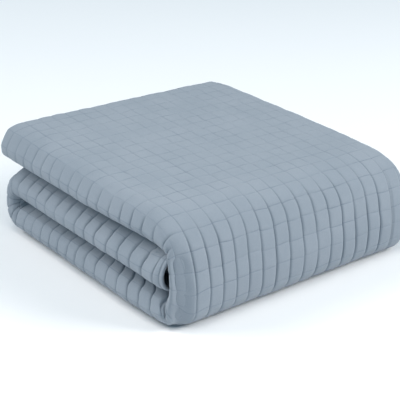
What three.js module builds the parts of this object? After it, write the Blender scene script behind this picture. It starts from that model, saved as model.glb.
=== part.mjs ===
// A quilted bed coverlet, folded to a block. The cloth is doubled end to end, folded in
// four to a strip, and the strip is folded in three with its hemmed end tucked inside the
// last, large turn. Millimetres, +Z up. X runs along the strip and Y across it. The closed
// rolls face -Y, the large turn faces +X, and the origin is under the block's middle.
import * as THREE from "three";

// Quilting
const CELL = 22; // pitch of the stitched squares across the strip
const PUFF = 2; // how far a square stands proud of its stitching
const LINES_ACROSS = 16; // stitched lines along the strip on its flat face
const FIRST_LINE_Y = -155;
const WANDER = 0.7; // how far stitching strays from a straight line

// Strip: eight layers of cloth a little apart, at its loose thickness
const STRIP_THICK = 46.2;
const HALF = STRIP_THICK / 2;
const LAYERS = 8;
const GAP = 1;
const LAYER = (STRIP_THICK - (LAYERS - 1) * GAP) / LAYERS;
const PAIR = 2 * LAYER + GAP;

// Rolls at -Y, and folds and hems at +Y
const ROLL_CENTRE_Y = -159.5;
const FOLD_REACH = 11;
const FOLD_HALF = PAIR + GAP / 2;
const LOWER_HEM_REACH = 7.7;
const UPPER_HEM_REACH = 3.3;
const HEM_ROUND = 1.4;

// Heights of the three panels of the strip, and its turn at -X
const LOWER_TOP_Z = 45.8;
const MIDDLE_BOTTOM_Z = 47.4;
const MIDDLE_TOP_Z = 92.4;
const UPPER_BOTTOM_Z = 94;
const TURN_X = -156.2;
const TURN_REACH = 29.7;
const TURN_BACK_X = -154;
const TAPER = 0.00022; // the block is lower at +Y, by this share of its height each mm

// Rows are the stitched lines across the strip, counted along it from the doubled end
const FIRST_ROW = -7.75;
const LAST_ROW = 50;
const LIP = 0.15; // rows over which an end of the cloth is rounded
const WRAP_START = 9;
const WRAP_END = 14;
const FLOOR_ROW = 15;
const TURN_START = 30;
const TURN_END = 35.5;

// The strip's face and back along the folded path, up to the turn at -X
const PATH = [
  { row: FIRST_ROW, faceX: -176.5, faceZ: 146.8, backX: -176.5, backZ: UPPER_BOTTOM_Z },
  { row: 6, faceX: 117.2, faceZ: 136.9, backX: 117.2, backZ: UPPER_BOTTOM_Z },
  { row: 7, faceX: 138.6, faceZ: 136.2, backX: 136.2, backZ: UPPER_BOTTOM_Z },
  { row: 8, faceX: 162, faceZ: 132, backX: 157, backZ: UPPER_BOTTOM_Z },
  { row: 9, faceX: 184.5, faceZ: 120.5, backX: 174.5, backZ: 93.6 },
  { row: 10, faceX: 198.4, faceZ: 99.5, backX: 182, backZ: 87 },
  { row: 11, faceX: 204.6, faceZ: 75, backX: 183.5, backZ: 74 },
  { row: 12, faceX: 208, faceZ: 50.5, backX: 184.3, backZ: 61 },
  { row: 13, faceX: 206, faceZ: 24.5, backX: 181.5, backZ: 49.5 },
  { row: 14, faceX: 193.5, faceZ: 4.4, backX: 170, backZ: 46 },
  { row: FLOOR_ROW, faceX: 174.8, faceZ: 0, backX: 154, backZ: LOWER_TOP_Z },
  { row: 16, faceX: 153, faceZ: 0, backX: 135, backZ: LOWER_TOP_Z },
  { row: TURN_START, faceX: TURN_X, faceZ: 0, backX: TURN_BACK_X, backZ: LOWER_TOP_Z },
];
const MIDDLE = [
  { row: TURN_END, faceX: TURN_X, backX: TURN_BACK_X },
  { row: LAST_ROW, faceX: 174, backX: 174 },
];

// How far the rolls stand out towards -Y, and how far their squares are rolled round
const ROLLS = [
  { row: FIRST_ROW, y: -190, twist: 0 },
  { row: 1, y: -190, twist: 0 },
  { row: 5, y: -184.5, twist: 0 },
  { row: 8, y: -180, twist: 0 },
  { row: 12.5, y: -180.5, twist: 0 },
  { row: 14, y: -184, twist: -5 },
  { row: 15.5, y: -188, twist: -15 },
  { row: 18, y: -190, twist: -25 },
  { row: TURN_START, y: -189, twist: -25 },
  { row: TURN_END, y: -189, twist: 5 },
  { row: 41, y: -190.5, twist: 13 },
  { row: 48, y: -190, twist: 13 },
  { row: LAST_ROW, y: -189, twist: 13 },
];

// Where the folds at +Y have their centre
const FOLDS = [
  { row: FIRST_ROW, y: 173.5 },
  { row: 5.5, y: 192.5 },
  { row: 16, y: 191 },
  { row: TURN_END, y: 184 },
  { row: LAST_ROW, y: 188 },
];

const radians = THREE.MathUtils.degToRad;
const lerp = THREE.MathUtils.lerp;

// Smooth value of one column of a table at a row, through every entry and never beyond
function tableAt(table, column, row) {
  const last = table.length - 2;
  let k = 0;
  while (k < last && row > table[k + 1].row) k += 1;
  const slope = (i) => (table[i + 1][column] - table[i][column]) / (table[i + 1].row - table[i].row);
  const join = (a, b) => (a * b > 0 ? (2 * a * b) / (a + b) : 0);
  const before = k > 0 ? join(slope(k - 1), slope(k)) : slope(k);
  const after = k < last ? join(slope(k), slope(k + 1)) : slope(k);
  const span = table[k + 1].row - table[k].row;
  const t = (row - table[k].row) / span;
  const straight = lerp(table[k][column], table[k + 1][column], t * t * (3 - 2 * t));
  return straight + span * t * (1 - t) * ((1 - t) * before - t * after);
}

// Face and back of the strip at a row, as points of the XZ plane
function stripAt(row) {
  if (row <= TURN_START) {
    return {
      face: new THREE.Vector2(tableAt(PATH, "faceX", row), tableAt(PATH, "faceZ", row)),
      back: new THREE.Vector2(tableAt(PATH, "backX", row), tableAt(PATH, "backZ", row)),
    };
  }
  if (row >= TURN_END) {
    return {
      face: new THREE.Vector2(tableAt(MIDDLE, "faceX", row), MIDDLE_TOP_Z),
      back: new THREE.Vector2(tableAt(MIDDLE, "backX", row), MIDDLE_BOTTOM_Z),
    };
  }
  const angle = (Math.PI * (row - TURN_START)) / (TURN_END - TURN_START);
  const half = MIDDLE_TOP_Z / 2;
  const slit = (MIDDLE_BOTTOM_Z - LOWER_TOP_Z) / 2;
  return {
    face: new THREE.Vector2(TURN_X - TURN_REACH * Math.sin(angle), half - half * Math.cos(angle)),
    back: new THREE.Vector2(
      TURN_BACK_X - slit * Math.sin(angle),
      LOWER_TOP_Z + slit - slit * Math.cos(angle),
    ),
  };
}

// Nodes of the strip's section in the order in which the cloth runs through it: on rolls
// and folds an angle on nested ellipses, on flats a place y, on hems how far they reach.
// The pair in span is the size or height at the doubled cloth's outer and inner side. Use
// tells the stitched lines that show (line, flat) and the middles of squares (puff) from
// nodes of covered cloth (hidden) and of its inner side alone (inside).
const OUTER_ROLL = [1, 1 - PAIR / HALF];
const INNER_ROLL = [GAP / 2 / HALF, (PAIR + GAP / 2) / HALF];
const END_FOLD = [1, GAP / 2 / FOLD_HALF];
const TOP_FLAT = [STRIP_THICK, STRIP_THICK - PAIR];
const UPPER_HEM = [HALF - GAP / 2, HALF - GAP / 2 - PAIR];
const SECTION = [
  { kind: "hem", reach: LOWER_HEM_REACH, span: [0, PAIR], use: "hidden" },
  { kind: "roll", angle: -90, span: OUTER_ROLL, use: "hidden" },
  { kind: "roll", angle: -45, span: OUTER_ROLL, use: "line" },
  { kind: "roll", angle: -20, span: OUTER_ROLL, use: "puff" },
  { kind: "roll", angle: 6, span: OUTER_ROLL, use: "line" },
  { kind: "roll", angle: 32, span: OUTER_ROLL, use: "puff" },
  { kind: "roll", angle: 57, span: OUTER_ROLL, use: "line" },
  { kind: "roll", angle: 76, span: OUTER_ROLL, use: "puff" },
  { kind: "roll", angle: 90, span: OUTER_ROLL, use: "inside" },
  ...flatNodes(),
  { kind: "fold", angle: 90, span: END_FOLD, use: "inside" },
  { kind: "fold", angle: 50, span: END_FOLD, use: "puff" },
  { kind: "fold", angle: 0, span: END_FOLD, use: "line" },
  { kind: "fold", angle: -90, span: END_FOLD, use: "hidden" },
  { kind: "roll", angle: 90, span: INNER_ROLL, use: "hidden" },
  { kind: "roll", angle: 57, span: INNER_ROLL, use: "inside" },
  { kind: "roll", angle: 6, span: INNER_ROLL, use: "hidden" },
  { kind: "roll", angle: -45, span: INNER_ROLL, use: "inside" },
  { kind: "roll", angle: -90, span: INNER_ROLL, use: "hidden" },
  { kind: "hem", reach: UPPER_HEM_REACH, span: UPPER_HEM, use: "hidden" },
].map((node, order) => ({ ...node, order }));

function flatNodes() {
  const nodes = [];
  for (let k = 0; k < LINES_ACROSS; k += 1) {
    const y = FIRST_LINE_Y + k * CELL;
    nodes.push({ kind: "flat", y, span: TOP_FLAT, use: "flat" });
    nodes.push({ kind: "flat", y: y + CELL / 2, span: TOP_FLAT, use: "puff" });
  }
  nodes.pop();
  return nodes;
}

// Point of a node at a row. Depth runs from 0 on the outer side of the doubled cloth to 1
// on its inner side, and lift moves the point out of the surface.
function place(node, row, depth, lift = 0) {
  const span = lerp(node.span[0], node.span[1], depth);
  let y = node.y;
  let height = span;
  let out = new THREE.Vector2(0, 1);
  if (node.kind === "roll") {
    const reach = ROLL_CENTRE_Y - tableAt(ROLLS, "y", row);
    const flatAngle = radians(node.angle);
    const angle = flatAngle + radians(tableAt(ROLLS, "twist", row)) * Math.cos(flatAngle);
    y = ROLL_CENTRE_Y - reach * span * Math.cos(angle);
    height = HALF + HALF * span * Math.sin(angle);
    out = new THREE.Vector2(-HALF * Math.cos(angle), reach * Math.sin(angle)).normalize();
  }
  if (node.kind === "hem") y = tableAt(FOLDS, "y", row) + node.reach;
  if (node.kind === "fold") {
    const angle = radians(node.angle);
    y = tableAt(FOLDS, "y", row) + FOLD_REACH * span * Math.cos(angle);
    height = STRIP_THICK - FOLD_HALF + FOLD_HALF * span * Math.sin(angle);
    out = new THREE.Vector2(Math.cos(angle), Math.sin(angle));
  }
  const { face, back } = stripAt(row);
  const across = face.sub(back);
  const spot = back.addScaledVector(across, height / STRIP_THICK);
  spot.addScaledVector(across.normalize(), lift * out.y);
  y += lift * out.x;
  return new THREE.Vector3(spot.x, y, spot.y * (1 - TAPER * y));
}

// Rows at which each kind of line has its points
const steps = (from, to, step = 1) =>
  Array.from({ length: Math.round((to - from) / step) + 1 }, (unused, k) => from + k * step);
const sorted = (rows) => [...new Set(rows)].sort((a, b) => a - b);
const ENDS = [FIRST_ROW, FIRST_ROW + LIP, LAST_ROW - LIP, LAST_ROW];
const BENDS = [...steps(WRAP_START, WRAP_END, 0.5), ...steps(TURN_START + 1, TURN_END, 0.5)];
const ROWS = {
  line: sorted([...ENDS, ...BENDS, ...steps(-7, 49)]),
  flat: sorted([...ENDS, ...BENDS, ...steps(-7, FLOOR_ROW), TURN_START, TURN_END, 43]),
  hidden: sorted([...ENDS, ...steps(-4, 4, 4), ...steps(6, 16), ...steps(TURN_START, 35), TURN_END, 43]),
};

const positions = [];
const triangles = [];
function addVertex(point) {
  positions.push(point.x, point.y, point.z);
  return positions.length / 3 - 1;
}

// A point where two stitched lines cross, a little off its place on a flat face
function crossing(node, row, depth) {
  const stray = WANDER * Math.sin(0.9 * row + 1.7 * node.order);
  const strayRow = (WANDER / CELL) * Math.sin(1.3 * node.order - 0.6 * row);
  const point = place(node, row + strayRow, depth);
  return point.setY(point.y + stray);
}

// Points of a node's line along the strip. The ends of the cloth are rounded.
function makeLine(node, depth, middle) {
  const shown = depth === 0 && ROWS[node.use];
  const rows = shown ? ROWS[node.use] : ROWS.hidden;
  const reachesEnd = depth === 0 || depth === 1;
  return rows.slice(reachesEnd ? 0 : 1).map((row) => {
    const towards = row === FIRST_ROW ? 0.5 : middle;
    const rounded = row === FIRST_ROW || row === LAST_ROW ? lerp(depth, towards, 0.4) : depth;
    const strays = node.use === "flat" && Number.isInteger(row) && row < WRAP_START;
    const point = strays ? crossing(node, row, depth) : place(node, row, rounded);
    return { row, order: node.order, vertex: addVertex(point) };
  });
}

// Rounded edge of one cloth along a hem
function makeEdge(node, middle) {
  return ROWS.hidden.slice(1).map((row) => {
    const point = place(node, row, middle);
    point.y += HEM_ROUND;
    return { row, order: node.order, vertex: addVertex(point) };
  });
}

// Triangles between two lines of points, both sorted by the same key
function zip(a, b, key) {
  let i = 0;
  let j = 0;
  while (i < a.length - 1 || j < b.length - 1) {
    const alongA = j === b.length - 1 || (i < a.length - 1 && a[i + 1][key] <= b[j + 1][key]);
    if (alongA) {
      triangles.push(a[i].vertex, a[i + 1].vertex, b[j].vertex);
      i += 1;
    } else {
      triangles.push(a[i].vertex, b[j + 1].vertex, b[j].vertex);
      j += 1;
    }
  }
}

// Surface between two neighbouring lines: a raised square wherever both have points on two
// rows that follow each other, and plain cloth elsewhere
function band(a, b, puff) {
  const shared = a.filter((spot) => b.some((other) => other.row === spot.row)).map((spot) => spot.row);
  const breaks = shared.filter((row, k) => k === 0 || k === shared.length - 1 || Number.isInteger(row));
  for (let k = 0; k < breaks.length - 1; k += 1) {
    const inside = (line) => line.filter((spot) => spot.row >= breaks[k] && spot.row <= breaks[k + 1]);
    const nearFloor = breaks[k] >= WRAP_END && breaks[k] <= TURN_START && puff?.kind !== "roll";
    if (puff && breaks[k + 1] - breaks[k] === 1 && !nearFloor) {
      raise(inside(a), inside(b), puff, breaks[k] + 0.5);
    } else {
      zip(inside(a), inside(b), "row");
    }
  }
}

// A stitched square raised to its middle. Squares that face the next panel are flatter.
function raise(a, b, puff, row) {
  const open = puff.kind === "flat" || (row < WRAP_END && puff.angle > 0);
  const lift = open ? PUFF : PUFF * Math.cos(radians(puff.angle));
  const centre = addVertex(place(puff, row, 0, lift));
  const rim = [...a, ...b.slice().reverse()];
  rim.forEach((spot, k) => triangles.push(spot.vertex, rim[(k + 1) % rim.length].vertex, centre));
}

// One thickness of the cloth with its two hemmed edges and its rounded far end
function makeSheet(outer, inner) {
  const middle = (outer + inner) / 2;
  const lines = (depth) =>
    SECTION.filter((node) => node.use !== "puff" && (depth === 0 || node.use !== "flat"))
      .filter((node) => depth > 0 || node.use !== "inside")
      .map((node) => makeLine(node, depth, middle));
  const front = lines(outer);
  const rear = lines(inner);
  const near = makeEdge(SECTION[0], middle);
  const far = makeEdge(SECTION[SECTION.length - 1], middle);
  for (let k = 0; k < front.length - 1; k += 1) {
    const between = SECTION.slice(front[k][0].order + 1, front[k + 1][0].order);
    band(front[k], front[k + 1], outer === 0 ? between.find((node) => node.use === "puff") : undefined);
  }
  for (let k = 0; k < rear.length - 1; k += 1) band(rear[k + 1], rear[k]);
  band(near, front[0]);
  band(rear[0], near);
  band(front[front.length - 1], far);
  band(far, rear[rear.length - 1]);
  const end = (line) => line[line.length - 1];
  zip(rear.map(end), front.map(end), "order");
  triangles.push(end(near).vertex, end(rear[0]).vertex, end(front[0]).vertex);
  triangles.push(end(far).vertex, end(front[front.length - 1]).vertex, end(rear[rear.length - 1]).vertex);
  return { front, rear, near, far };
}

// Doubled end, where the cloth turns back on itself between the two thicknesses
function joinSheets(a, b) {
  const at = (lines, index) => lines.map((line) => line[index]);
  zip(at(a.front, 0), at(b.rear, 0), "order");
  zip(at(b.front, 0), at(a.rear, 0), "order");
  const last = (lines) => lines[lines.length - 1];
  const corner = (pick, edgeA, edgeB) => [
    pick(a.front)[0],
    pick(a.front)[1],
    edgeA[0],
    pick(a.rear)[0],
    pick(b.front)[0],
    edgeB[0],
    pick(b.rear)[1],
    pick(b.rear)[0],
  ];
  const fill = (rim) => {
    for (let k = 1; k < rim.length - 1; k += 1) {
      triangles.push(rim[0].vertex, rim[k + 1].vertex, rim[k].vertex);
    }
  };
  fill(corner((lines) => lines[0], a.near, b.near));
  fill(corner(last, a.far, b.far).reverse());
}

function buildCoverlet() {
  const outer = makeSheet(0, LAYER / PAIR);
  const inner = makeSheet(1 - LAYER / PAIR, 1);
  joinSheets(outer, inner);
  const geometry = new THREE.BufferGeometry();
  geometry.setAttribute("position", new THREE.Float32BufferAttribute(positions, 3));
  geometry.setIndex(triangles);
  geometry.computeBoundingBox();
  const middle = geometry.boundingBox.getCenter(new THREE.Vector3());
  geometry.translate(-middle.x, -middle.y, 0);
  geometry.computeVertexNormals();
  const material = new THREE.MeshStandardMaterial({ color: "#9fabb8", roughness: 0.95, metalness: 0 });
  material.name = "fabric";
  const mesh = new THREE.Mesh(geometry, material);
  mesh.name = "coverlet";
  return mesh;
}

const group = new THREE.Group();
group.name = "folded_coverlet";
group.add(buildCoverlet());
export default group;
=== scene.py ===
import math

import bpy
import numpy as np
from mathutils import Matrix, Vector


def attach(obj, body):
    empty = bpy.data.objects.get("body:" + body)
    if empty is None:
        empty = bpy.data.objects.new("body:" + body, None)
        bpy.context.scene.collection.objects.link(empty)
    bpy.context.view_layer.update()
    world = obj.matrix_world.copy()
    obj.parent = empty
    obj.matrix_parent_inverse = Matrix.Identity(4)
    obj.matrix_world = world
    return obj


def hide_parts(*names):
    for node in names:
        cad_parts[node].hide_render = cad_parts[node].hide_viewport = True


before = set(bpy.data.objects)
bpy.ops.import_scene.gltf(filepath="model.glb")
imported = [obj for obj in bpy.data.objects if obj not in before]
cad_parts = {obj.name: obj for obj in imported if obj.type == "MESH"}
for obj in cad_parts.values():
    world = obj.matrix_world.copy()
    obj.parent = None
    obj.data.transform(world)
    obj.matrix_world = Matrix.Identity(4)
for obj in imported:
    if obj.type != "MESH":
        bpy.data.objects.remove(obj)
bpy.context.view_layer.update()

# Sizes in millimetres, places in rows and lines
# A row is a stitched line across the folded strip. Rows are counted along the strip, from its
# doubled end on top, round the large bend, back under the block and through the turn at -X.
# A line is a stitched line along the strip. Lines are counted from the closed rolls.
# A share of the strip's thickness is 0 at its back and 1 at its face.
# A stretch (a, b, c, d) of rows or lines begins between a and b and ends between c and d.
CELL = 22.0  # side of a stitched square
HALF = 23.1  # half the strip's loose thickness
THICK = 2 * HALF
GAP = 1.0  # between two layers
LAYERS = 8
LAYER = (THICK - (LAYERS - 1) * GAP) / LAYERS
PAIR = 2 * LAYER + GAP
LINE_0_Y = -177.0  # where the stitched line 0 would lie on the flat face
LAST_LINE = 16
FOLD_REACH = 11.0  # how far a closed fold bulges past the y where it begins
FOLD_HALF = PAIR + GAP / 2
QUARTER_FOLD = 17.1  # length of cloth in a quarter of the closed fold
LOWER_HEM_REACH = 7.7
UPPER_HEM_REACH = 3.3
HEM_ROUND = 1.4  # how far a hem's rounded edge stands out
LOWER_TOP_Z = 45.8
MIDDLE_BOTTOM_Z = 47.4
MIDDLE_TOP_Z = 92.4
TURN_X = -156.2
TURN_REACH = 29.7
TURN_BACK_X = -154.0
TAPER = 0.00022  # share of its height that the block loses over a millimetre of y
CENTRE_X = 10.753  # the block's middle, in the frame that these sizes are given in
CENTRE_Y = 5.717

FIRST_ROW = -7.75
LAST_ROW = 50.0
LIP = 0.15  # length of the rounded ends, in squares
FLOOR_ROW = 15.0
TURN_START = 30.0
TURN_END = 35.5

# Face and back of the strip, from the doubled end to the turn at -X
PATH = {
    "row": [FIRST_ROW, 6, 7, 8, 9, 10, 11, 12, 13, 14, FLOOR_ROW, 16, TURN_START],
    "faceX": [-176.5, 117.2, 138.6, 162, 184.5, 198.4, 204.6, 208, 206, 193.5, 174.8, 153, TURN_X],
    "faceZ": [146.8, 136.9, 136.2, 132, 120.5, 99.5, 75, 50.5, 24.5, 4.4, 0, 0, 0],
    "backX": [-176.5, 117.2, 136.2, 157, 174.5, 182, 183.5, 184.3, 181.5, 170, 154, 135]
    + [TURN_BACK_X],
    "backZ": [94, 94, 94, 94, 93.6, 87, 74, 61, 49.5, 46] + [LOWER_TOP_Z] * 3,
}
# The middle panel, from the turn at -X to its free end
MIDDLE = {
    "row": [TURN_END, 42, 43, 44, 45, 46, 47, 48, 49, LAST_ROW],
    "faceX": [TURN_X, -2, 21, 44.5, 69.5, 95, 120.5, 145.5, 169, 177],
    "backX": [TURN_BACK_X, -2, 21, 44.5, 69.5, 95, 120.5, 145.5, 169, 177],
}
# Rolls: centre and outermost line in y, how far the nose sags along the strip's normal, how far
# the outer half is cut to a slant, and how much of the shoulders' fall is taken
ROLLS = {
    "row": [FIRST_ROW, 1, 5, 8, 9.5, 11, 13.4, 14.4, 15.5, 18]
    + [TURN_START, TURN_END, 41, 48, 49, 49.55, LAST_ROW],
    "centre": [-148, -148, -150, -155, -157, -151, -151, -155, -158, -156]
    + [-159.5, -159.5, -157, -157, -159, -162, -166],
    "outer": [-190, -190, -186, -181, -180, -180, -181, -184, -188, -190]
    + [-189, -189, -190.5, -190.5, -190, -187, -184],
    "sag": [6, 6, 5, 1, 0, 4, 4, 0, -3, -6, -5, 5, 7, 7, 7, 5, 3],
    "slant": [0, 0, 0, 0, 0.1, 0.8, 0.7, 0, 0, 0, 0, 0, 0, 0, 0, 0, 0],
    "lower_slope": [0, 0, 0, 0, 0, 0, 0, 0.3, 0.9, 1, 1, 0, 0, 0, 0, 0, 0],
    "middle_slope": [0, 0, 0, 0, 0, 0, 0, 0, 0, 0, 0, 1, 1, 0.9, 0.4, 0.2, 0.2],
}
SHOULDER = 0.6  # fall of the flattened shoulders of the two lower rolls
SAG_POWER = 6
BOXY = 0.85  # under 1 the roll's face is flatter and its shoulders are squarer
# Far side: y at which each row turns into its closed folds
FOLDS = {
    "row": [FIRST_ROW, -7.2, -6.4, -4, 5.5, 16, TURN_END, LAST_ROW],
    "y": [168, 174.5, 178, 182, 192.5, 191, 184, 188],
}
# Stitching slides along the strip where it goes round the rolls, and across it on the large bend
SLIDE_ALONG = {
    "row": [FIRST_ROW, 0, 3, 5, 13, 14, 15, 16, 17.5, 20, 22, LAST_ROW],
    "x": [-4, -3.6, -3, 0, 0, 8, 17, 17, 11.5, 6.5, 0, 0],
}
SLIDE_FACE_SHARES = (0.75, 1)  # shares of the thickness and rows past which nothing slides
SLIDE_FACE_ROWS = (13, 14)
SLIDE_ACROSS = {
    "line": [-4, 0, 1, 3.3, 6, 9, 11.5, 30],
    "y": [1, 2, 3.6, 0.2, -4, -2, 0, 0],
}
SLIDE_ACROSS_ROWS = (8, 11.5, 14, 15.5)
# How deep the stitched troughs are on the rolls, row by row
ROLL_TROUGH = {
    "row": [FIRST_ROW, 0, 2, 4, 9, 9.8, 13, 14.3, 15, 19, 20.5, 30, 36, 42, 43.5, 48, LAST_ROW],
    "share": [0.2, 0.25, 0.6, 1.5, 1.9, 0.5, 0.4, 0.15, 1.5, 1.2, 0.4, 0.3, 0.3, 0.6]
    + [1.3, 1.3, 1.3],
}
# The free end of the middle panel reaches further at the roll's nose than inside the block
NOSE = (158, 178)  # y towards -Y over which a roll's nose begins
END_REACH = 7.5
END_REACH_ROW = 49
END_HOLLOW = 30.0  # how far its inner layers lie back there
END_HOLLOW_NOSE = (150, 165)
END_HOLLOW_ROW = 43
END_HOLLOW_STEEPNESS = 2.2  # the hollow is full at 1 / 2.2 of the section's depth
# Inside of the lower bend, where the roll is nipped in
PINCH_ROW = 14.62
PINCH_DEPTH = 34.0
PINCH_NOSE = (158, 174)
PINCH_WIDTH = 0.16  # in squares, near the face
PINCH_FLARE = 0.2  # how much wider it is at the back
PINCH_FLARE_SHARES = (0.12, 0.4)
PINCH_SHARES = (0.36, 0.62)  # shares of the thickness over which the nip dies out
ROLL_END = -3.15  # stitched line at the rolls' inner edge


def table_at(table, column, row, key="row"):
    """Smooth value of a table's column at rows, through every entry and never beyond."""
    x = np.array(table[key], float)
    v = np.array(table[column], float)
    row = np.asarray(row, float)
    slope = np.diff(v) / np.diff(x)
    a = slope[:-1]
    b = slope[1:]
    joined = np.where(a * b > 0, 2 * a * b / np.where(a + b == 0, 1, a + b), 0)
    tangent = np.concatenate([[slope[0]], joined, [slope[-1]]])
    k = np.clip(np.searchsorted(x, row, side="left") - 1, 0, len(x) - 2)
    span = x[k + 1] - x[k]
    t = (row - x[k]) / span
    straight = v[k] + (v[k + 1] - v[k]) * t * t * (3 - 2 * t)
    return straight + span * t * (1 - t) * ((1 - t) * tangent[k] - t * tangent[k + 1])


def smooth(value, low, high):
    """Rise from 0 at low to 1 at high, level at both ends."""
    t = np.clip((np.asarray(value, float) - low) / (high - low), 0, 1)
    return t * t * (3 - 2 * t)


def between(value, a, b, c, d):
    """1 on the stretch from b to c, falling to 0 at a and at d."""
    return smooth(value, a, b) * (1 - smooth(value, c, d))


def bump(value, middle, width):
    """Bell of height 1 round a middle."""
    return np.exp(-(((value - middle) / width) ** 2))


# Strip and rolls
def strip_at(row):
    """Face and back of the strip at rows, each as arrays of x and z."""
    row = np.asarray(row, float)
    before = np.minimum(row, TURN_START)
    after = np.maximum(row, TURN_END)
    angle = np.pi * np.clip((row - TURN_START) / (TURN_END - TURN_START), 0, 1)

    def side(name, turn_x, turn_z, middle_z):
        x = np.where(row <= TURN_START, table_at(PATH, name + "X", before), turn_x)
        z = np.where(row <= TURN_START, table_at(PATH, name + "Z", before), turn_z)
        x = np.where(row >= TURN_END, table_at(MIDDLE, name + "X", after), x)
        z = np.where(row >= TURN_END, middle_z, z)
        return x, z

    half = MIDDLE_TOP_Z / 2
    slit = (MIDDLE_BOTTOM_Z - LOWER_TOP_Z) / 2
    turn_x = TURN_X - TURN_REACH * np.sin(angle)
    turn_z = half - half * np.cos(angle)
    face = side("face", turn_x, turn_z, MIDDLE_TOP_Z)
    turn_x = TURN_BACK_X - slit * np.sin(angle)
    turn_z = LOWER_TOP_Z + slit - slit * np.cos(angle)
    back = side("back", turn_x, turn_z, MIDDLE_BOTTOM_Z)
    return face, back


def section(row, angle, size):
    """y and share of the thickness on a roll's nested round section: 90 degrees is the face."""
    centre = table_at(ROLLS, "centre", row)
    reach = centre - table_at(ROLLS, "outer", row)
    sag = table_at(ROLLS, "sag", row) / THICK
    slant = table_at(ROLLS, "slant", row) * (angle > 0)
    cos = np.abs(np.cos(angle))
    sin = np.sin(angle)
    out = cos**BOXY * (1 - slant) + cos**2 * slant
    up = sin * (1 - slant) + sin * np.abs(sin) * slant
    over = np.maximum(0, np.abs(sin) - (1 - SHOULDER * out))
    up = up - over * table_at(ROLLS, "middle_slope", row) * (angle > 0)
    up = up + over * table_at(ROLLS, "lower_slope", row) * (angle < 0)
    return centre - reach * size * out, 0.5 + size * (0.5 * up - sag * cos**SAG_POWER)


# Angle on the roll against the share of the way round it, for every row: the squares keep
# their true size near the face and are crowded further round where the strip is pinched
ROW_STEP = 0.1
ROW_GRID = np.arange(FIRST_ROW - 0.5, LAST_ROW + 0.6, ROW_STEP)
SHARE_GRID = np.linspace(0, 1, 97)
ANGLE_STEPS = 181


def roll_angles():
    """Grid of the angles on the rolls, a row for each entry of the row grid."""
    rows = np.clip(ROW_GRID, FIRST_ROW, LAST_ROW)
    (fx, fz), (bx, bz) = strip_at(rows)
    depth = np.hypot(fx - bx, fz - bz)
    lines = (table_at(ROLLS, "centre", rows) - LINE_0_Y) / CELL - ROLL_END
    angle = np.linspace(np.pi / 2, -np.pi / 2, ANGLE_STEPS)
    y, n = section(rows[:, None], angle[None, :], 1.0)
    arc = np.cumsum(np.hypot(np.diff(y), np.diff(n) * depth[:, None]), axis=1)
    grid = np.zeros((len(rows), len(SHARE_GRID)))
    for k in range(len(rows)):
        whole = arc[k, -1]
        where = whole * (1 - (1 - SHARE_GRID) ** (lines[k] * CELL / whole))
        grid[k] = np.interp(where, np.concatenate([[0], arc[k]]), angle)
    return grid


ANGLES = roll_angles()


def angle_at(row, share):
    """Angle on the roll at rows and shares of the way round, bilinear on the grid."""
    r = np.clip((row - ROW_GRID[0]) / ROW_STEP, 0, len(ROW_GRID) - 1.001)
    q = np.clip(share, 0, 1) * (len(SHARE_GRID) - 1)
    i = r.astype(int)
    j = np.minimum(q.astype(int), len(SHARE_GRID) - 2)
    u = r - i
    w = q - j
    a = ANGLES[i, j] * (1 - w) + ANGLES[i, j + 1] * w
    b = ANGLES[i + 1, j] * (1 - w) + ANGLES[i + 1, j + 1] * w
    return a * (1 - u) + b * u


def to_space(row, y, n):
    """Place of a row's point at y across the strip and at the share n of its thickness."""
    (fx, fz), (bx, bz) = strip_at(row)
    x = bx + (fx - bx) * n
    z = (bz + (fz - bz) * n) * (1 - TAPER * y)
    nose = smooth(-y, *NOSE)
    x = x + nose * smooth(row, END_REACH_ROW, LAST_ROW) * END_REACH
    still = smooth(n, *SLIDE_FACE_SHARES) * smooth(row, *SLIDE_FACE_ROWS)
    x = x + nose * table_at(SLIDE_ALONG, "x", row) * (1 - still)
    wide = PINCH_WIDTH + PINCH_FLARE * (1 - smooth(n, *PINCH_FLARE_SHARES))
    nip = bump(row, PINCH_ROW, wide) * (1 - smooth(n, *PINCH_SHARES))
    y = y + PINCH_DEPTH * nip * smooth(-y, *PINCH_NOSE)
    return np.stack([x, y, z], axis=-1)


def surface(row, line):
    """Outer face of the cloth at rows and stitched lines, without its quilting."""
    row = np.asarray(row, float)
    line = np.asarray(line, float)
    bend = between(row, *SLIDE_ACROSS_ROWS)
    line = line + bend * table_at(SLIDE_ACROSS, "y", line, "line") / CELL
    centre = table_at(ROLLS, "centre", row)
    top_line = (centre - LINE_0_Y) / CELL
    share = (top_line - line) / (top_line - ROLL_END)
    y_roll, n_roll = section(row, angle_at(row, share), 1.0)
    y_flat = LINE_0_Y + CELL * line
    fold = table_at(FOLDS, "y", row)
    past = np.maximum(0, y_flat - fold)
    angle = np.pi / 2 * (1 - np.minimum(past / QUARTER_FOLD, 2))
    y_fold = fold + FOLD_REACH * np.cos(angle)
    n_fold = (THICK - FOLD_HALF + FOLD_HALF * np.sin(angle)) / THICK
    y = np.where(line < top_line, y_roll, np.where(past > 0, y_fold, y_flat))
    n = np.where(line < top_line, n_roll, np.where(past > 0, n_fold, 1.0))
    return to_space(row, y, n)


# Quilting: depths and heights in millimetres, widths in squares
rng = np.random.default_rng(7)
ROW_DEPTH = rng.uniform(0.75, 1.2, 80)
LINE_DEPTH = rng.uniform(0.85, 1.15, 40)
ROW_SHIFT = rng.uniform(-0.06, 0.06, 40)
FIRST_DRAWN_ROW = -20  # the row and the line that the first drawn values stand for
FIRST_DRAWN_LINE = -8

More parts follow.
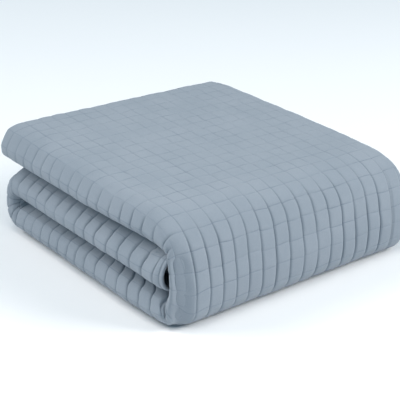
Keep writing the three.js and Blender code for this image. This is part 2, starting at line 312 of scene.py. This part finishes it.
# Where things begin and end
BEND_ROWS = (6.0, 9.8, 13.2, 15.0)
TURN_ROWS = (29.8, 31.5, 34.5, 36)
DEEP_ROWS = (7.3, 10.8, 12.2, 14.8)
FLOOR_ROWS = (14.6, 15.3, 29.7, 30.6)
FLOOR_LINES = (-0.3, 0.6)
ROLL_LINES = (-0.3, 0.75)
TOP_PANEL_ROWS = (8, 9.5)
TOP_PANEL_ROLL_LINES = (-1.2, 0.2)  # on the top panel the roll's troughs begin further round
TOP_ROWS = (4.5, 7.5)
TOP_LINES = (13.5, 16)

# Stitched troughs
TROUGH = 0.45
TROUGH_ON_BEND = 2.4  # how much deeper the lines along the strip are there
TROUGH_ON_BEND_CALM = 0.85  # share of it that is lost where the bend runs into the rolls
TROUGH_LESS_ON_ROLL = 0.15
TROUGH_ON_ROLL = 1.9  # how much deeper the rows are there, times the table's share
TROUGH_POWER = 1.3
LINE_WIDTH = 0.045
ROW_WIDTH = 0.04
FADE = (0.85, 0.35)  # mean of the troughs' slow fading, and its reach
GATHER_DEPTH = 1.6  # extra depth of the troughs that are gathered, on the middle roll only
GATHER_WIDTH = 0.02
GATHER_LINES = (-0.15, -2.55)  # where they are gathered, on the middle and on the lower roll
GATHER_REACH = 0.4
GATHER_ROWS = (15.2, 16.5, 47.5, 48.8)
LOWER_ROLL_ROWS = (16, 30)  # over these rows the lower roll's gathers give way to the middle's
CORNER_ROW = 15
CORNER_REACH = 0.45
CORNER_LINES = (-1.5, -0.7)
CORNER_CALM = 0.8  # share of the troughs' depth that is lost at the lower corner
FIRST_LINE_CALM = 0.7  # share of the first line's depth that is lost above the dished column
FIRST_LINE_REACH = 0.3
FIRST_LINE_ROWS = (9.8, 10.8)

# Crowns of the squares
CROWN = (0.3, 0.12)  # mean height, and its slow unevenness
CROWN_ON_TURNS = 0.1
CROWN_ON_ROLL = 0.2
CROWN_POWERS = (2.2, 3.5)  # between lines, and between rows
FACET = 1.7  # squares are flatter than the roll that they go round

# Softness of the cloth: heights of its slow, middle and fine unevenness
SOFT_SLOW = 0.25
SOFT_MIDDLE = 0.15
SOFT_MIDDLE_ON_TOP = 0.25
SOFT_FINE_ON_TOP = 0.25

# Hem at the free end of the middle panel
SEAM_ROW = 49.6  # its second seam
SEAM_DEPTH = 1.6
SEAM_WIDTH = 0.05
HEM_RISE = 0.9
HEM_ROWS = (49.05, 49.3, 49.9, LAST_ROW)

# First column of the large bend, dished between its rows behind a full rounded edge
DISH_DEPTH = 4.8
DISH_ROWS = (9.5, 10.5, 13.4, 15.0)
DISH_LINES = (-0.55, -0.1, 0.1, 1.0)
DISH_AT_SEAMS = 0.6  # share of the depth that the seams keep
DISH_POWER = 3.0

# Wrinkles: the shoulder's lies where the top roll runs into the bend, the corner's where the
# lower bend runs into the bottom roll
SHOULDER_WRINKLE = 9.55
SHOULDER_DEPTH = 4.6
SHOULDER_WIDTH = 0.1
SHOULDER_LINE = -0.65
SHOULDER_REACH = 0.5
WRINKLES = [15.04, 14.8]
WRINKLE_DEPTHS = [2.6, 2.8]
WRINKLE_WIDTH = 0.05
WRINKLE_LINES = (-2.0, -1.5, -1.1, -0.4)

# Unevenness: scale of its waves in squares, and its seed
FADE_WAVES = (2.0, 3)
CROWN_WAVES = (0.9, 31)
SLOW_WAVES = (1.3, 5)
MIDDLE_WAVES = (0.6, 9)
FINE_WAVES = (0.3, 33)
ROW_WAVES = [(1.2, 21), (0.5, 22)]
LINE_WAVES = [(1.2, 23), (0.5, 24)]

WAVES = 6
WAVE_RATE = 3.2  # radians over the waves' scale, at most
WAVE_PHASE = 6.3
WAVE_TOTAL = 3.2  # brings their sum to about 1

# Wander of the stitching, in squares: its slow and its quick part
ROW_WANDER = [0.035, 0.025]
LINE_WANDER = [0.035, 0.02]
WANDER_ROWS = (6, 9, 14, 15.5)  # on the bend the rows are shifted from column to column
BEND_LINE_CALM = 0.5  # share of the lines' wander that is lost there
SHIFT_BLEND = (0.96, 1.0)  # share of a square over which one column's shift meets the next
FIRST_COLUMN_DROP = 0.2  # how much lower the rows of the first column lie on the bend
FIRST_COLUMN = 0.45
FIRST_COLUMN_REACH = 0.55
FIRST_COLUMN_ROWS = (10.8, 12, 13.2, 15)


def groove(t, width):
    """Stitched trough: t is the distance to the nearest stitching, in squares."""
    return np.exp(-((np.abs(t) / width) ** TROUGH_POWER))


def pillow(t, power):
    """Share of a square's crown at a distance t from its stitching."""
    return 1 - np.abs(1 - 2 * np.abs(t)) ** power


def uneven(a, b, scale, seed):
    """Slow, smooth unevenness, mostly between -1 and 1, over rows and lines."""
    total = 0
    waves = np.random.default_rng(seed).uniform(-1, 1, (WAVES, 3))
    for k, (u, v, w) in enumerate(waves):
        total = total + np.sin((u * a + v * b) * WAVE_RATE / scale + WAVE_PHASE * w + k)
    return total / WAVE_TOTAL


def drawn(values, number, first):
    """Value drawn for each row or line, where the first value stands for the number first."""
    return values[(number - first).astype(int) % len(values)]


class Place:
    """Where rows and lines lie on the block, as shares from 0 to 1."""

    def __init__(self, row, line):
        self.row = row
        self.line = line
        self.to_row = row - np.round(row)
        self.to_line = line - np.round(line)
        self.bend = between(row, *BEND_ROWS)
        self.turn = between(row, *TURN_ROWS)
        self.turns = np.maximum(self.bend, self.turn)
        self.roll = 1 - smooth(line, *ROLL_LINES)
        self.floor = between(row, *FLOOR_ROWS) * smooth(line, *FLOOR_LINES)
        top = (1 - smooth(row, *TOP_ROWS)) * (1 - smooth(line, *TOP_LINES))
        self.top = top * (1 - self.roll)


def crowns(at):
    """Height of the squares' crowns, bent along the stitching where they go round a roll."""
    facet = FACET * at.roll * (1 - at.turns)
    puff = CROWN[0] + CROWN[1] * uneven(at.row, at.line, *CROWN_WAVES)
    over_lines = puff + CROWN_ON_TURNS * at.turns - facet
    over_rows = puff + CROWN_ON_ROLL * at.roll
    height = over_lines * pillow(at.to_line, CROWN_POWERS[0])
    return height + over_rows * pillow(at.to_row, CROWN_POWERS[1])


def line_troughs(at, fade):
    """Depth of the troughs along the strip."""
    deep = between(at.row, *DEEP_ROWS) + at.turn
    depth = TROUGH + TROUGH_ON_BEND * deep * (1 - TROUGH_ON_BEND_CALM * at.roll)
    depth = depth - TROUGH_LESS_ON_ROLL * at.roll
    depth = depth * drawn(LINE_DEPTH, np.round(at.line), FIRST_DRAWN_LINE) * fade
    calm = bump(at.line, 0, FIRST_LINE_REACH) * at.bend * (1 - smooth(at.row, *FIRST_LINE_ROWS))
    return depth * (1 - FIRST_LINE_CALM * calm) * groove(at.to_line, LINE_WIDTH)


def row_troughs(at, fade):
    """Depth of the troughs across the strip, which are gathered along a line of the rolls."""
    top_panel = 1 - smooth(at.row, *TOP_PANEL_ROWS)
    edge = at.roll * (1 - top_panel)
    edge = edge + top_panel * (1 - smooth(at.line, *TOP_PANEL_ROLL_LINES))
    depth = TROUGH + TROUGH_ON_ROLL * edge * table_at(ROLL_TROUGH, "share", at.row)
    depth = depth * drawn(ROW_DEPTH, np.round(at.row), FIRST_DRAWN_ROW) * fade
    calm = bump(at.row, CORNER_ROW, CORNER_REACH) * smooth(at.line, *CORNER_LINES)
    depth = depth * (1 - CORNER_CALM * calm)
    lower = 1 - smooth(at.row, *LOWER_ROLL_ROWS)
    gather_line = GATHER_LINES[1] * lower + GATHER_LINES[0] * (1 - lower)
    gather = bump(at.line, gather_line, GATHER_REACH) * between(at.row, *GATHER_ROWS)
    depth = depth + GATHER_DEPTH * gather * (1 - lower)
    return depth * groove(at.to_row, ROW_WIDTH + GATHER_WIDTH * gather)


def softness(at):
    """Height of the cloth's slow unevenness, which has more detail on the top."""
    height = SOFT_SLOW * uneven(at.row, at.line, *SLOW_WAVES)
    middle = SOFT_MIDDLE + SOFT_MIDDLE_ON_TOP * at.top
    height = height + middle * uneven(at.row, at.line, *MIDDLE_WAVES)
    return height + SOFT_FINE_ON_TOP * at.top * uneven(at.row, at.line, *FINE_WAVES)


def hem(at):
    """Height of the hem at the free end, less the trough of its second seam."""
    rise = HEM_RISE * between(at.row, *HEM_ROWS)
    return at.roll * (rise - SEAM_DEPTH * groove(at.row - SEAM_ROW, SEAM_WIDTH))


def dish(at):
    """Depth of the dished first column of the large bend."""
    place = between(at.line, *DISH_LINES) * between(at.row, *DISH_ROWS)
    fill = DISH_AT_SEAMS + (1 - DISH_AT_SEAMS) * pillow(at.to_row, DISH_POWER)
    return DISH_DEPTH * place * fill


def wrinkles(at):
    """Depth of the wrinkles at the shoulder and at the lower corner."""
    depth = SHOULDER_DEPTH * bump(at.line, SHOULDER_LINE, SHOULDER_REACH)
    depth = depth * groove(at.row - SHOULDER_WRINKLE, SHOULDER_WIDTH)
    nipped = between(at.line, *WRINKLE_LINES)
    for row, deepest in zip(WRINKLES, WRINKLE_DEPTHS):
        depth = depth + nipped * deepest * groove(at.row - row, WRINKLE_WIDTH)
    return depth


def relief(row, line):
    """Height of the quilting over the cloth's smooth surface."""
    at = Place(row, line)
    fade = FADE[0] + FADE[1] * uneven(row, line, *FADE_WAVES)
    height = crowns(at) + softness(at) + hem(at)
    height = height - line_troughs(at, fade) - row_troughs(at, fade) - dish(at) - wrinkles(at)
    return height * (1 - at.floor)


def wander(row, line, reaches, waves):
    """Sum of the slow and the quick wander."""
    parts = [reach * uneven(row, line, *wave) for reach, wave in zip(reaches, waves)]
    return sum(parts)


def stray(row, line):
    """Wander of the rows and of the lines, in squares."""
    row_stray = wander(row, line, ROW_WANDER, ROW_WAVES)
    line_stray = wander(row, line, LINE_WANDER, LINE_WAVES)
    on_bend = between(row, *WANDER_ROWS)
    column = np.floor(line)
    step = smooth(line - column, *SHIFT_BLEND)
    shift = drawn(ROW_SHIFT, column, FIRST_DRAWN_LINE) * (1 - step)
    shift = shift + drawn(ROW_SHIFT, column + 1, FIRST_DRAWN_LINE) * step
    first = bump(line, FIRST_COLUMN, FIRST_COLUMN_REACH) * between(row, *FIRST_COLUMN_ROWS)
    row_stray = row_stray + shift * on_bend + FIRST_COLUMN_DROP * first
    return row_stray, line_stray * (1 - BEND_LINE_CALM * on_bend)


def quilted(row, line):
    """Outer face of the cloth with its quilting."""
    row_stray, line_stray = stray(row, line)
    inside = between(row, FIRST_ROW, FIRST_ROW + 1, LAST_ROW - 1, LAST_ROW)
    r = row + row_stray * inside
    s = line + line_stray * smooth(line, ROLL_END, ROLL_END + 1)
    step = 0.02
    base = surface(r, s)
    along = surface(np.minimum(r + step, LAST_ROW), s) - surface(np.maximum(r - step, FIRST_ROW), s)
    over = surface(r, s + step) - surface(r, s - step)
    normal = np.cross(along, over)
    normal /= np.maximum(np.linalg.norm(normal, axis=-1, keepdims=True), 1e-9)
    return base + normal * relief(row, line)[..., None]


# Mesh: where its rows and lines lie
CUTS = [0, 0.035, 0.085, 0.18, 0.34, 0.5, 0.66, 0.82, 0.915, 0.965]  # within a square
FOLD_STEPS = 22  # lines round the closed fold
CLOSEST = 0.012  # rows and lines that lie closer than this are one
NEAR_SEAM = (-0.07, -0.03, 0, 0.03, 0.07)
FINE_TO_LINE = 1.0  # past this line the rows are fine only on the top, the bend and the turn


def fine(start, end):
    """Places of the cuts within every square from start to end."""
    values = [start, end]
    for whole in range(math.floor(start), math.ceil(end)):
        values += [whole + c for c in CUTS if start < whole + c < end]
    return values


def merged(*lists):
    """Sorted values of all lists, without those that nearly repeat."""
    values = sorted(set(round(v, 6) for part in lists for v in part))
    kept = [values[0]]
    for v in values[1:]:
        if v - kept[-1] > CLOSEST:
            kept.append(v)
    kept[-1] = values[-1]
    return np.array(kept)


ENDS = [FIRST_ROW, FIRST_ROW + LIP, LAST_ROW - LIP, LAST_ROW]
BENDS = list(np.arange(9, 14.01, 0.5)) + list(np.arange(31, 35.51, 0.5))
SEAMS = [SEAM_ROW, SHOULDER_WRINKLE] + WRINKLES
NEAR_SEAMS = [row + d for row in SEAMS for d in NEAR_SEAM]
NEAR_NIP = list(np.arange(14.2, 15.3, 0.05))
TURN_FINE = fine(TURN_START, TURN_END)
ROLL_ROWS = merged(ENDS, NEAR_SEAMS, NEAR_NIP, fine(FIRST_ROW, LAST_ROW))
FLAT_ROWS = merged(ENDS, fine(FIRST_ROW, FLOOR_ROW), [16, 19, 25, 29], TURN_FINE, [36, 40, 45])
HIDDEN_ROWS = merged(ENDS, [-4, 0, 4], range(6, 17), BENDS, range(30, 36), [TURN_END, 43])

points = []
uvs = []
faces = []


def add_points(coords, row, line):
    """Add vertices, with their rows and lines as UV, and give their numbers."""
    start = sum(len(p) for p in points)
    points.append(np.asarray(coords, float))
    count = len(coords)
    uvs.append(np.stack([np.broadcast_to(row, count), np.broadcast_to(line, count)], -1))
    return np.arange(start, start + count)


def zip_lines(a_key, a, b_key, b):
    """Triangles between two lines of vertices, each sorted by its key."""
    i = j = 0
    while i < len(a) - 1 or j < len(b) - 1:
        if j == len(b) - 1 or (i < len(a) - 1 and a_key[i + 1] <= b_key[j + 1]):
            faces.append((a[i], a[i + 1], b[j]))
            i += 1
        else:
            faces.append((a[i], b[j + 1], b[j]))
            j += 1


def zip_ends(a, b):
    """Triangles between two rows of vertices that lie across the cloth."""
    line = np.concatenate(uvs)[:, 1]
    zip_lines(line[a], a, line[b], b)


def band(a, b):
    """Surface between two lines, each (rows, vertices)."""
    if len(a[0]) == len(b[0]) and np.allclose(a[0], b[0]):
        va, vb = a[1], b[1]
        faces.extend(zip(va[:-1], va[1:], vb[1:], vb[:-1]))
        return
    low = max(a[0][0], b[0][0]) - 1e-6
    ka = a[0] >= low
    kb = b[0] >= low
    zip_lines(a[0][ka], a[1][ka], b[0][kb], b[1][kb])


# Covered nodes of the section: kind, angle in degrees or reach, and size at depths 0 and 1, the
# outer and the inner face of the doubled cloth
OUTER = (1.0, 1 - PAIR / HALF)
INNER = (GAP / 2 / HALF, (PAIR + GAP / 2) / HALF)
END_FOLD = (1.0, GAP / 2 / FOLD_HALF)
LOWER_HEM = ("hem", LOWER_HEM_REACH, (0.0, PAIR))
UPPER_HEM = ("hem", UPPER_HEM_REACH, (HALF - GAP / 2, HALF - GAP / 2 - PAIR))
ROLL_STEPS = range(-90, 91, 15)
COARSE_STEPS = [90, 45, 0, -45, -90]
INSIDE = (
    [LOWER_HEM]
    + [("roll", a, OUTER) for a in ROLL_STEPS]
    + [("fold", a, END_FOLD) for a in COARSE_STEPS]
    + [("roll", a, INNER) for a in COARSE_STEPS]
    + [UPPER_HEM]
)
ROUNDING = 0.4  # share of the cloth's half thickness that is rounded off at its ends

# Their rough places across the cloth, counted in stitched lines
PANEL_LINES = 15.8
CLOSED_FOLD_LINE = LAST_LINE + 0.7
FOLD_LINES = 1.55
OUTER_ROLL_LINES = 4.1
INNER_ROLL_LINES = 1.5


def hidden_point(node, row, depth):
    """Point of a covered node of the section, as in the solid."""
    kind, value, span = node
    size = span[0] + (span[1] - span[0]) * depth
    if kind == "hem":
        y = table_at(FOLDS, "y", row) + value
        n = size / THICK + 0 * row
    elif kind == "fold":
        angle = math.radians(value)
        y = table_at(FOLDS, "y", row) + FOLD_REACH * size * math.cos(angle)
        n = (THICK - FOLD_HALF + FOLD_HALF * size * math.sin(angle)) / THICK + 0 * row
    else:
        y, n = section(row, np.full_like(row, math.radians(value)), size)
    return to_space(row, y, n)


def rounded(row, depth, middle):
    """Depth with the cloth's ends rounded."""
    depth = np.full_like(row, depth)
    depth = np.where(row == FIRST_ROW, depth + (0.5 - depth) * ROUNDING, depth)
    return np.where(row == LAST_ROW, depth + (middle - depth) * ROUNDING, depth)


def stitched_line(node):
    """Rough place of a covered node across the cloth, counted in stitched lines."""
    kind, value, span = node
    if node is LOWER_HEM:
        return ROLL_END - PANEL_LINES
    if node is UPPER_HEM:
        return CLOSED_FOLD_LINE + 2 * PANEL_LINES + 2 * INNER_ROLL_LINES
    if kind == "fold":
        return CLOSED_FOLD_LINE + FOLD_LINES * (90 - value) / 180
    if span is OUTER:
        return ROLL_END + OUTER_ROLL_LINES * (value + 90) / 180
    return CLOSED_FOLD_LINE + FOLD_LINES + PANEL_LINES + INNER_ROLL_LINES * (90 - value) / 180


def covered_line(node, depth, middle):
    """Line of vertices along a covered node; the inner faces stop short of the doubled end."""
    rows = HIDDEN_ROWS if depth in (0, 1) else HIDDEN_ROWS[1:]
    coords = hidden_point(node, rows, rounded(rows, depth, middle))
    inside = smooth(-coords[:, 1], *END_HOLLOW_NOSE) * smooth(rows, END_HOLLOW_ROW, LAST_ROW - LIP)
    coords[:, 0] -= END_HOLLOW * inside * min(1, depth * END_HOLLOW_STEEPNESS)
    return rows, add_points(coords, rows, stitched_line(node))


def edge_line(node, middle):
    """Line of vertices along the rounded edge of a hem."""
    rows = HIDDEN_ROWS[1:]
    coords = hidden_point(node, rows, np.full_like(rows, middle))
    coords[:, 1] += HEM_ROUND
    return rows, add_points(coords, rows, stitched_line(node))


def shown_lines():
    """Lines of the outer face that show, from the rolls' inner edge to the closed fold."""
    lines = []
    for s in merged(fine(ROLL_END, FINE_TO_LINE), fine(FINE_TO_LINE, LAST_LINE)):
        rows = ROLL_ROWS if s <= FINE_TO_LINE + 1e-6 else FLAT_ROWS
        coords = quilted(rows, np.full_like(rows, s))
        lines.append((rows, add_points(coords, rows, s)))
    rows = FLAT_ROWS
    last = (table_at(FOLDS, "y", rows) - LINE_0_Y + 2 * QUARTER_FOLD) / CELL
    for t in np.linspace(0, 1, FOLD_STEPS)[1:]:
        s = LAST_LINE + (last - LAST_LINE) * t
        lines.append((rows, add_points(quilted(rows, s), rows, s)))
    return lines


def make_sheet(outer, inner):
    """Faces of one of the two layers of the doubled cloth, between two depths."""
    middle = (outer + inner) / 2
    if outer == 0:
        front = [covered_line(LOWER_HEM, 0, middle)]
        front += shown_lines()
        front += [covered_line(("roll", a, INNER), 0, middle) for a in (90, 0, -90)]
        front += [covered_line(UPPER_HEM, 0, middle)]
    else:
        front = [covered_line(node, outer, middle) for node in INSIDE]
    rear = [covered_line(node, inner, middle) for node in INSIDE]
    near = edge_line(LOWER_HEM, middle)
    far = edge_line(UPPER_HEM, middle)
    for a, b in zip(front[:-1], front[1:]):
        band(a, b)
    for a, b in zip(rear[:-1], rear[1:]):
        band(b, a)
    band(near, front[0])
    band(rear[0], near)
    band(front[-1], far)
    band(far, rear[-1])
    front_end = [line[1][-1] for line in front]
    rear_end = [line[1][-1] for line in rear]
    zip_ends(rear_end, front_end)
    faces.append((near[1][-1], rear_end[0], front_end[0]))
    faces.append((far[1][-1], front_end[-1], rear_end[-1]))
    return {"front": front, "rear": rear, "near": near, "far": far}


def join_sheets(a, b):
    """Faces of the doubled end, where the two layers are one cloth."""

    def first(lines):
        return [line[1][0] for line in lines]

    zip_ends(first(a["front"]), first(b["rear"]))
    zip_ends(first(b["front"]), first(a["rear"]))
    for k, edge in ((0, "near"), (-1, "far")):
        outer_a, inner_a = a["front"][k][1], a["rear"][k][1]
        inner_b, outer_b = b["front"][k][1], b["rear"][k][1]
        rim = [outer_a[0], outer_a[1], a[edge][1][0], inner_a[0]]
        rim += [inner_b[0], b[edge][1][0], outer_b[1], outer_b[0]]
        if k == 0:
            rim.reverse()
        faces.append(tuple(rim))


def make_cloth():
    """The closed sheet as one object in metres, with rows and lines as its UV."""
    join_sheets(make_sheet(0, LAYER / PAIR), make_sheet(1 - LAYER / PAIR, 1))
    coords = (np.concatenate(points) - np.array([CENTRE_X, CENTRE_Y, 0])) / 1000.0
    coords[:, 2] = np.maximum(coords[:, 2], 0)
    mesh = bpy.data.meshes.new("quilted_cloth")
    mesh.from_pydata(coords.tolist(), [], [tuple(int(v) for v in face) for face in faces])
    squares = mesh.uv_layers.new(name="squares")
    corners = np.zeros(len(mesh.loops), dtype=np.int32)
    mesh.loops.foreach_get("vertex_index", corners)
    uv = np.concatenate(uvs)[corners]
    squares.data.foreach_set("uv", uv.astype(np.float32).ravel())
    mesh.polygons.foreach_set("use_smooth", np.ones(len(mesh.polygons), dtype=bool))
    mesh.update()
    made = bpy.data.objects.new("quilted_cloth", mesh)
    bpy.context.scene.collection.objects.link(made)
    return made


# Material
CLOTH_DARK = (0.262, 0.302, 0.347)
CLOTH_LIGHT = (0.283, 0.321, 0.366)
# Colour of the stitched lines: darker thread, and also painted shade that stands in for the shade
# in their troughs
SEAM_THREAD_AND_SHADE = (0.150, 0.195, 0.245)
STITCHES = 8.5  # stitches to a square
STITCH_EDGE = (0.012, 0.034)  # distance from the seam, in squares, over which the thread ends
STITCH_BEAT = (0.04, 0.16)  # the same along the seam, in stitches
STITCH_BETWEEN = 0.35  # how strong the seam stays between two stitches
# How far the stitched lines are mixed towards that colour, as thread and as painted shade
SEAM_THREAD_AND_SHADE_STRENGTH = 0.8
SEAM_SHOWS = (0.15, 0.75)  # least and most that a seam shows, from place to place
THREADS = 38.0  # weave threads to a square
WEAVE_BUMP = (0.00025, 0.35)  # distance in metres, and strength
STITCH_BUMP = (0.0005, 0.6)
SEAM_NOISE = (30, 2)  # scale for each metre, and detail
CLOUD_NOISE = (14, 3)
FLECK_NOISE = (420, 1)


class Nodes:
    """Shorthand for a material's node tree."""

    def __init__(self, material, settings):
        material.use_nodes = True
        self.tree = material.node_tree
        self.shader = self.tree.nodes["Principled BSDF"]
        for name, value in settings.items():
            self.shader.inputs[name].default_value = value

    def put(self, source, socket):
        """Feed a socket with a colour, a number or another node's output."""
        if isinstance(source, tuple):
            socket.default_value = (*source, 1)
        elif isinstance(source, (int, float)):
            socket.default_value = source
        else:
            self.tree.links.new(source, socket)

    def math(self, operation, *sources):
        node = self.tree.nodes.new("ShaderNodeMath")
        node.operation = operation
        for k, source in enumerate(sources):
            self.put(source, node.inputs[k])
        return node.outputs[0]

    def ramp(self, source, low, high, first, last):
        node = self.tree.nodes.new("ShaderNodeMapRange")
        node.interpolation_type = "SMOOTHSTEP"
        names = ("Value", "From Min", "From Max", "To Min", "To Max")
        for name, value in zip(names, (source, low, high, first, last)):
            self.put(value, node.inputs[name])
        return node.outputs[0]

    def noise(self, vector, scale, detail=2.0):
        node = self.tree.nodes.new("ShaderNodeTexNoise")
        self.tree.links.new(vector, node.inputs["Vector"])
        node.inputs["Scale"].default_value = scale
        node.inputs["Detail"].default_value = detail
        return node.outputs["Fac"]

    def mix(self, factor, a, b):
        node = self.tree.nodes.new("ShaderNodeMix")
        node.data_type = "RGBA"
        self.put(factor, node.inputs[0])
        self.put(a, node.inputs[6])
        self.put(b, node.inputs[7])
        return node.outputs[2]

    def bump(self, height, distance, strength, normal=None):
        node = self.tree.nodes.new("ShaderNodeBump")
        node.inputs["Distance"].default_value = distance
        node.inputs["Strength"].default_value = strength
        self.tree.links.new(height, node.inputs["Height"])
        if normal:
            self.tree.links.new(normal, node.inputs["Normal"])
        return node.outputs["Normal"]


def fabric_material():
    """Woven cloth with a line of stitches on every row and line of the UV, whose stitched lines are
    darkened in colour: partly darker thread and partly painted shade of their troughs.
    """
    material = bpy.data.materials.new("stitched_fabric")
    n = Nodes(
        material,
        {
            "Roughness": 0.9,
            "Specular IOR Level": 0.2,
            "Sheen Weight": 0.12,
            "Sheen Roughness": 0.5,
        },
    )
    coord = n.tree.nodes.new("ShaderNodeTexCoord")
    place = coord.outputs["Object"]
    split = n.tree.nodes.new("ShaderNodeSeparateXYZ")
    n.tree.links.new(coord.outputs["UV"], split.inputs[0])
    row, line = split.outputs[0], split.outputs[1]

    def stitches(across, along):
        near = n.ramp(n.math("PINGPONG", across, 0.5), *STITCH_EDGE, 1.0, 0.0)
        beat = n.math("PINGPONG", n.math("MULTIPLY", along, STITCHES), 0.5)
        return n.math("MULTIPLY", near, n.ramp(beat, *STITCH_BEAT, STITCH_BETWEEN, 1.0))

    def threads(across):
        return n.math("PINGPONG", n.math("MULTIPLY", across, THREADS), 0.5)

    show = n.ramp(n.noise(place, *SEAM_NOISE), 0.3, 0.7, *SEAM_SHOWS)
    seam = n.math("MAXIMUM", stitches(row, line), stitches(line, row))
    seam = n.math("MULTIPLY", seam, show)
    cloud = n.noise(place, *CLOUD_NOISE)
    fleck = n.noise(place, *FLECK_NOISE)
    tone = n.math("ADD", n.math("MULTIPLY", cloud, 0.7), n.math("MULTIPLY", fleck, 0.3))
    cloth_colour = n.mix(n.ramp(tone, 0.35, 0.65, 0.0, 1.0), CLOTH_DARK, CLOTH_LIGHT)
    # Stitched lines mixed towards a darker colour: partly thread, partly painted shade of the
    # troughs
    colour = n.mix(n.math("MULTIPLY", seam, SEAM_THREAD_AND_SHADE_STRENGTH), cloth_colour, SEAM_THREAD_AND_SHADE)
    n.tree.links.new(colour, n.shader.inputs["Base Color"])

    weave = n.math("ADD", threads(row), threads(line))
    weave = n.math("ADD", weave, n.math("MULTIPLY", fleck, 1.2))
    normal = n.bump(weave, *WEAVE_BUMP)
    normal = n.bump(n.math("MULTIPLY", seam, -1.0), *STITCH_BUMP, normal)
    n.tree.links.new(normal, n.shader.inputs["Normal"])
    return material


cloth = make_cloth()
cloth.data.materials.append(fabric_material())
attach(cloth, "root")
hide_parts("coverlet")

# Floor, world and lights, in metres and watts
FLOOR_HALF = 12.0
FLOOR_Z = -0.0004
FLOOR_DARK = (0.935, 0.937, 0.94)
FLOOR_LIGHT = (0.945, 0.946, 0.948)
WORLD_COLOUR = (0.68, 1.16, 1.52)
WORLD_STRENGTH = 0.24
LIGHT_COLOUR = (1.0, 0.955, 0.915)
LIGHT_AIM = Vector((0, 0, 0.06))


def make_floor():
    """Plain pale floor, just under the block."""
    mesh = bpy.data.meshes.new("floor")
    corners = [(-1, -1), (1, -1), (1, 1), (-1, 1)]
    coords = [(x * FLOOR_HALF, y * FLOOR_HALF, FLOOR_Z) for x, y in corners]
    mesh.from_pydata(coords, [], [(0, 1, 2, 3)])
    made = bpy.data.objects.new("floor", mesh)
    bpy.context.scene.collection.objects.link(made)
    material = bpy.data.materials.new("floor")
    n = Nodes(material, {"Roughness": 0.95})
    place = n.tree.nodes.new("ShaderNodeTexCoord").outputs["Object"]
    colour = n.mix(n.noise(place, 3.0), FLOOR_DARK, FLOOR_LIGHT)
    n.tree.links.new(colour, n.shader.inputs["Base Color"])
    mesh.materials.append(material)
    return made


floor = make_floor()

scene = bpy.context.scene
scene.view_settings.view_transform = "Standard"


def make_world():
    """Pale sky that fills the shade."""
    world = bpy.data.worlds.new("studio")
    world.use_nodes = True
    background = world.node_tree.nodes["Background"]
    background.inputs["Color"].default_value = (*WORLD_COLOUR, 1)
    background.inputs["Strength"].default_value = WORLD_STRENGTH
    scene.world = world


def area_light(name, distance, azimuth, elevation, size, power):
    """Square soft light that looks at the block's middle; angles in degrees."""
    data = bpy.data.lights.new(name, "AREA")
    data.shape = "SQUARE"
    data.size = size
    data.energy = power
    data.color = LIGHT_COLOUR
    light = bpy.data.objects.new(name, data)
    scene.collection.objects.link(light)
    azimuth = math.radians(azimuth)
    elevation = math.radians(elevation)
    flat = math.cos(elevation)
    way = Vector((flat * math.cos(azimuth), flat * math.sin(azimuth), math.sin(elevation)))
    light.location = way * distance + LIGHT_AIM
    light.rotation_euler = (-way).to_track_quat("-Z", "Y").to_euler()


make_world()
area_light("left", distance=5.0, azimuth=228, elevation=38, size=2.2, power=136)
area_light("right", distance=3.2, azimuth=42, elevation=32, size=1.5, power=76)
area_light("over", distance=1.7, azimuth=-55, elevation=66, size=1.0, power=11.5)

# Camera: angles in radians, lengths in metres, places in pixels of a 400 pixel image
AZIMUTH = math.radians(52.46)
ELEVATION = math.radians(24.26)
FOCAL_PIXELS = 1316.4
IMAGE = 400
MIDDLE_PIXEL = 199.5
DISTANCE = 1.7802
AIM = Vector((0.0110 - CENTRE_X / 1000, -0.0010 - CENTRE_Y / 1000, 0.066))
AIM_PIXEL = (196.14, 195.71)
SENSOR = 36.0  # millimetres


def make_camera():
    """Camera of the photograph, without roll, aimed at a point inside the block."""
    flat = math.cos(ELEVATION)
    view = Vector((-math.sin(AZIMUTH) * flat, math.cos(AZIMUTH) * flat, -math.sin(ELEVATION)))
    right = Vector((math.cos(AZIMUTH), math.sin(AZIMUTH), 0))
    up = right.cross(view)
    data = bpy.data.cameras.new("camera")
    data.sensor_width = SENSOR
    data.lens = FOCAL_PIXELS / IMAGE * SENSOR
    data.shift_x = (MIDDLE_PIXEL - AIM_PIXEL[0]) / IMAGE
    data.shift_y = -(MIDDLE_PIXEL - AIM_PIXEL[1]) / IMAGE
    camera = bpy.data.objects.new("camera", data)
    scene.collection.objects.link(camera)
    rotation = Matrix((right, up, -view)).transposed().to_4x4()
    camera.matrix_world = Matrix.Translation(AIM - view * DISTANCE) @ rotation
    scene.camera = camera


make_camera()
bpy.context.view_layer.update()
